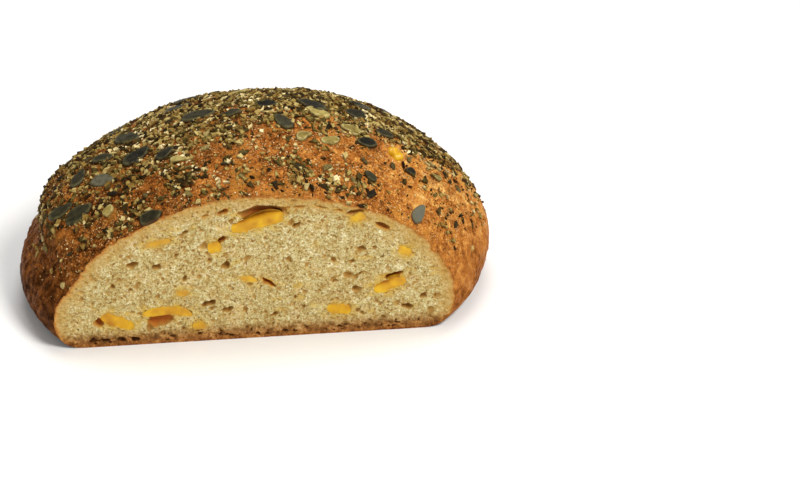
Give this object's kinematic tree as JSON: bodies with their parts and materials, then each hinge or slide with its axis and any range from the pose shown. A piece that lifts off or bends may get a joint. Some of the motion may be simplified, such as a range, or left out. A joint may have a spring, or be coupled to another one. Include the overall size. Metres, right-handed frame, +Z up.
{
  "type": "pumpkin spelt bread",
  "caption": "Round domed loaf of pumpkin spelt bread with its front cut away: open crumb with chunks of baked pumpkin, and a browned crust studded with pumpkin seeds.",
  "frame": {"origin": "under the middle of the loaf's box, on the surface that its flat base rests on", "axes": "+Z up, -Y out of the cut face, +X to the right of someone who looks at the cut face"},
  "size_m": [0.2196, 0.1476, 0.0922],
  "materials": {
    "crust": "browned, grainy and dry, nearly matt",
    "crumb": "soft, open and porous, matt",
    "pumpkin": "moist, slightly glossy",
    "seed_green": "smooth, satin",
    "seed_pale": "broken, matt",
    "grain": "dry flakes, matt"
  },
  "bodies": {
    "root": {"loaf": "crust", "pumpkin_top": "pumpkin", "pumpkin_low_left": "pumpkin", "pumpkin_low_middle": "pumpkin", "pumpkin_cube": "pumpkin", "pumpkin_upper_right": "pumpkin", "pumpkin_streak_left": "pumpkin", "pumpkin_streak_middle": "pumpkin", "pumpkin_low_crumb": "pumpkin", "pumpkin_small": "pumpkin", "pumpkin_right_low": "pumpkin", "pumpkin_right_middle": "pumpkin", "pumpkin_right_high": "pumpkin", "pumpkin_crust": "pumpkin"}
  },
  "joints": []
}
